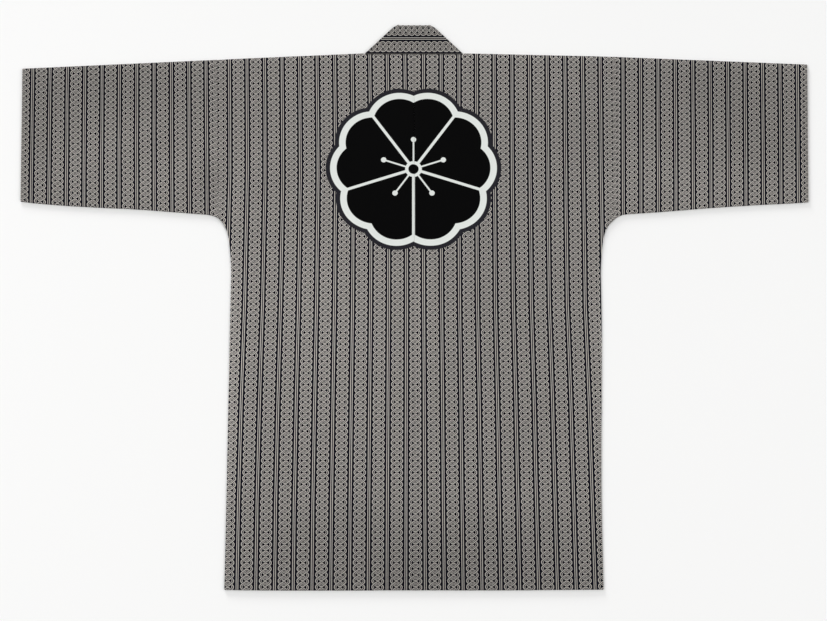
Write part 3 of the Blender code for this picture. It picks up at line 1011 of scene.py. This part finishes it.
def halfBand(half):
    # a doubled band: columns go across its outer face, round its folded edge and back across the
    # inner face; rows go up the front, round the slanted fold and across to the centre back
    cloth = coat["cloth"]
    width, gap = collar["width"], collar["gap"]
    neckSeam = coat["shoulder"] - collar["foldReach"]
    seam = neckSeam + gap
    cornerX = half["neckHalf"] - 2 * gap
    halfBandZ = collar["cad"] / 2 - cloth / 2
    edge = np.linspace(0.0, math.pi, layer["foldSteps"])
    laneEnd = width - halfBandZ - cloth / 2
    lane = np.linspace(0.0, laneEnd, collar["laneSteps"])[:-1]
    w = np.concatenate((lane, laneEnd + halfBandZ * np.sin(edge), lane[::-1]))
    face = np.full(len(lane), halfBandZ)
    off = np.concatenate((face, halfBandZ * np.cos(edge), -face))
    near = np.exp(-((w / collar["pinchReach"]) ** 2))
    off = off - collar["seamPinch"] * near * np.sign(off)

    lowZ, highZ = collar["cad"] / 2, collar["cad"] * 1.5 + collar["underGap"]
    radius = (highZ - lowZ) / 2
    diagonal = math.sqrt(0.5)  # the fold slants by 45 degrees
    inset = (radius + collar["cad"] / 2) * diagonal
    cut = collar["corner"] * between(w / width, collar["cornerStart"], 1.0) ** 3
    foldX, foldH = cornerX - w - cut, seam + w
    turn = np.linspace(0.0, math.pi, collar["foldSteps"])[:, None]
    bulge = radius * np.sin(turn) * diagonal
    slide = inset * (np.cos(turn) - collar["lean"] * np.sin(turn))
    turnX, turnH = foldX - inset + bulge + slide, foldH - inset + bulge - slide
    turnZ = lowZ + radius - radius * np.cos(turn) + 0 * w

    rise = np.linspace(0.0, 1.0, collar["frontSteps"])[:-1, None]
    frontH = rise * turnH[0]
    frontX = frontHalf(half, rise * turnH[0, 0], neckSeam)
    frontX = frontX - gap * (1 + rise ** collar["approach"]) - w
    go = np.linspace(0.0, 1.0, collar["neckSteps"])[1:, None]
    neckX, neckH = turnX[-1] * (1 - go), foldH + 0 * go

    x = np.concatenate((frontX, turnX, neckX))
    h = np.concatenate((frontH, turnH, neckH))
    z = np.concatenate((np.full_like(frontX, lowZ), turnZ, np.full_like(neckX, highZ)))
    tilt = np.concatenate((0 * rise, turn, math.pi + 0 * go))
    aside = np.sin(tilt) * diagonal
    x, h, z = x + off * aside, h + off * aside, z - off * np.cos(tilt)

    # along the band, measured from the centre back; across it, from its seam
    total = seam + cornerX
    endV = total - turnX[-1:]
    turnV = turnH[0] + (endV - turnH[0]) * (turn / math.pi)
    v = np.concatenate((frontH, turnV, total - neckX)) - total
    u = (w - collar["firstColumn"]) / repeat + 0 * v
    uv = np.stack((u, -half["sign"] * v / repeat), axis=-1)
    points = placed(half["sign"] * x, h, z)
    seamPlace = np.interp(sewing["collarLine"], lane, np.arange(len(lane)))
    seamLine = gridLine(points.swapaxes(0, 1), seamPlace)
    outward = np.concatenate((half["sign"] * aside, aside, -np.cos(tilt)), axis=1)
    return points, uv, total, (seamLine, outward)


def makeCollar():
    # one length from the right front's hem round the neck to the left front's hem
    points, uv, rightLength, rightLine = halfBand(halves["right"])
    leftPoints, leftUv, leftLength, leftLine = halfBand(halves["left"])
    points = np.concatenate((points, leftPoints[-2::-1]))
    uv = np.concatenate((uv, leftUv[-2::-1]))
    piece = sheetObject("collar_cloth", points, {"cloth": uv}, collarCotton)
    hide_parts("collar")
    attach(piece, "root")
    makeStitches("collar_seam_stitches", (rightLine, leftLine))


makeCollar()
print("collar ready")

# Floor, lights and camera. The camera looks down on the coat from the hem's side.
studio = {
    "floor": 30.0,
    "floorZ": -0.0002,
    "floorColor": (0.90, 0.90, 0.895, 1.0),
    "grainScale": 3.0,
    "grainTone": 0.01,
    "grainBase": 0.995,
    "surface": {"Roughness": 0.9, "Specular IOR Level": 0.1},
    "world": 0.537,
    "sensor": 36.0,
    "focal": 96.42,
    "distance": 3.40,
    "elevation": 74.0,
    "aimX": -0.0023,
    "aimH": 0.4312,  # height on the coat in the middle of the picture
}

lampColumns = ("name", "place", "size", "power")
lamps = (
    ("key", (-2.2, -0.6, 2.8), 1.6, 32.4),
    ("fill", (3.0, -1.0, 3.0), 2.2, 51.7),
    ("rake", (-2.4, 6.6, 1.8), 1.8, 318.0),
)


def makeFloor():
    # a level plate with a fine, pale, matt surface
    size = studio["floor"] / 2
    mesh = bpy.data.meshes.new("floor")
    signs = ((-1, -1), (1, -1), (1, 1), (-1, 1))
    corners = [(x * size, y * size, studio["floorZ"]) for x, y in signs]
    mesh.from_pydata(corners, [], [(0, 1, 2, 3)])
    floor = newObject("floor", mesh)
    material, tree, shader = newMaterial("pale floor", studio["surface"])
    place = addNode(tree, "ShaderNodeTexCoord").outputs["Object"]
    grain = noise(tree, place, studio["grainScale"], 2.0)
    tone = calc(tree, "MULTIPLY_ADD", grain, studio["grainTone"], studio["grainBase"])
    color = mixColor(tree, 1.0, studio["floorColor"], tone, "MULTIPLY")
    tree.links.new(color, shader.inputs["Base Color"])
    mesh.materials.append(material)


def addLamp(name, place, size, power):
    # a square area lamp turned to the coat's middle
    data = bpy.data.lights.new(name, "AREA")
    data.shape = "SQUARE"
    data.size = size
    data.energy = power
    lamp = newObject(name, data)
    lamp.location = place
    lamp.rotation_euler = Vector(place).to_track_quat("Z", "Y").to_euler()


def makeCamera():
    # on a circle about the aim: back = (0, -cos, sin) of the elevation
    data = bpy.data.cameras.new("camera")
    data.sensor_width = studio["sensor"]
    data.lens = studio["focal"]
    camera = newObject("camera", data)
    up = math.radians(studio["elevation"])
    away, above = studio["distance"] * math.cos(up), studio["distance"] * math.sin(up)
    camera.location = (studio["aimX"], hemY + studio["aimH"] - away, above)
    camera.rotation_euler = (math.pi / 2 - up, 0.0, 0.0)
    bpy.context.scene.camera = camera


makeFloor()
for row in lamps:
    addLamp(**dict(zip(lampColumns, row)))
makeCamera()
world = bpy.data.worlds.new("studio")
bpy.context.scene.world = world
world.use_nodes = True
background = world.node_tree.nodes["Background"]
background.inputs["Color"].default_value = (1.0, 1.0, 1.0, 1.0)
background.inputs["Strength"].default_value = studio["world"]
bpy.context.scene.view_settings.view_transform = "Standard"
print("studio ready")
